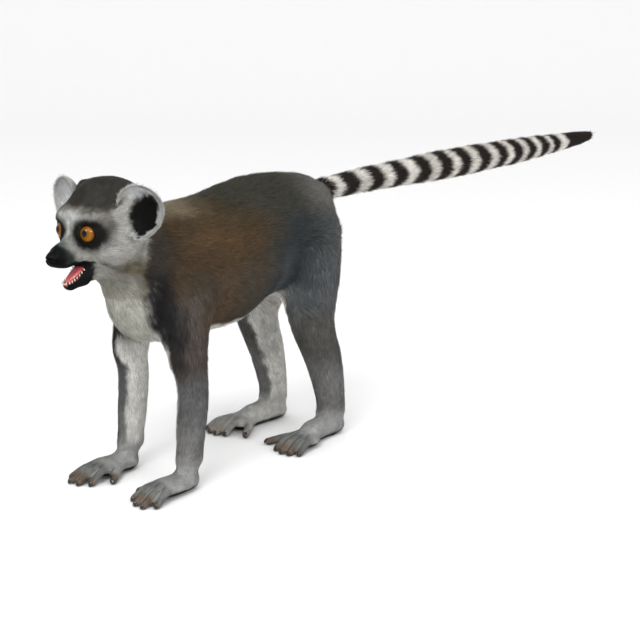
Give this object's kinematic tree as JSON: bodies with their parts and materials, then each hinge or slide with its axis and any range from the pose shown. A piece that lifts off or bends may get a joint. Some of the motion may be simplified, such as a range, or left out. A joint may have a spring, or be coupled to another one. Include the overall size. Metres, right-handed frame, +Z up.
{
  "type": "ring-tailed lemur",
  "caption": "Ring-tailed lemur standing on all fours with its mouth open and its ringed tail held out level, a life-size still model.",
  "frame": {"origin": "on the floor, under the middle of the box round nose and tail tip", "axes": "+X to the animal's left, -Y the way it faces, tail along +Y, +Z up"},
  "size_m": [0.1528, 1.0116, 0.3156],
  "materials": {
    "coat_grey": "short soft fur, warm grey-brown",
    "coat_pale": "short soft fur, white to pale grey",
    "coat_ringed": "longer fur in black and white rings",
    "bare_skin": "black, slightly moist",
    "tongue": "moist pink",
    "tooth": "ivory",
    "claw": "satin dark horn",
    "eye": "wet, amber round a black pupil"
  },
  "bodies": {
    "root": {"trunk": "coat_grey", "left_upper_arm": "coat_grey", "right_upper_arm": "coat_grey", "left_forearm": "coat_grey", "right_forearm": "coat_grey", "left_thigh": "coat_grey", "right_thigh": "coat_grey", "left_shank": "coat_grey", "right_shank": "coat_grey", "neck": "coat_pale", "head": "coat_pale", "left_ear": "coat_pale", "right_ear": "coat_pale", "left_hand": "coat_pale", "right_hand": "coat_pale", "left_foot": "coat_pale", "right_foot": "coat_pale", "left_thumb": "coat_pale", "left_finger_2": "coat_pale", "left_finger_3": "coat_pale", "left_finger_4": "coat_pale", "left_finger_5": "coat_pale", "left_big_toe": "coat_pale", "left_toe_2": "coat_pale", "left_toe_3": "coat_pale", "left_toe_4": "coat_pale", "left_toe_5": "coat_pale", "right_thumb": "coat_pale", "right_finger_2": "coat_pale", "right_finger_3": "coat_pale", "right_finger_4": "coat_pale", "right_finger_5": "coat_pale", "right_big_toe": "coat_pale", "right_toe_2": "coat_pale", "right_toe_3": "coat_pale", "right_toe_4": "coat_pale", "right_toe_5": "coat_pale", "tail_1": "coat_ringed", "tail_2": "coat_ringed", "tail_3": "coat_ringed", "tail_4": "coat_ringed", "nose": "bare_skin", "lower_jaw": "bare_skin", "tongue": "tongue", "left_eye": "eye", "right_eye": "eye"}
  },
  "joints": []
}
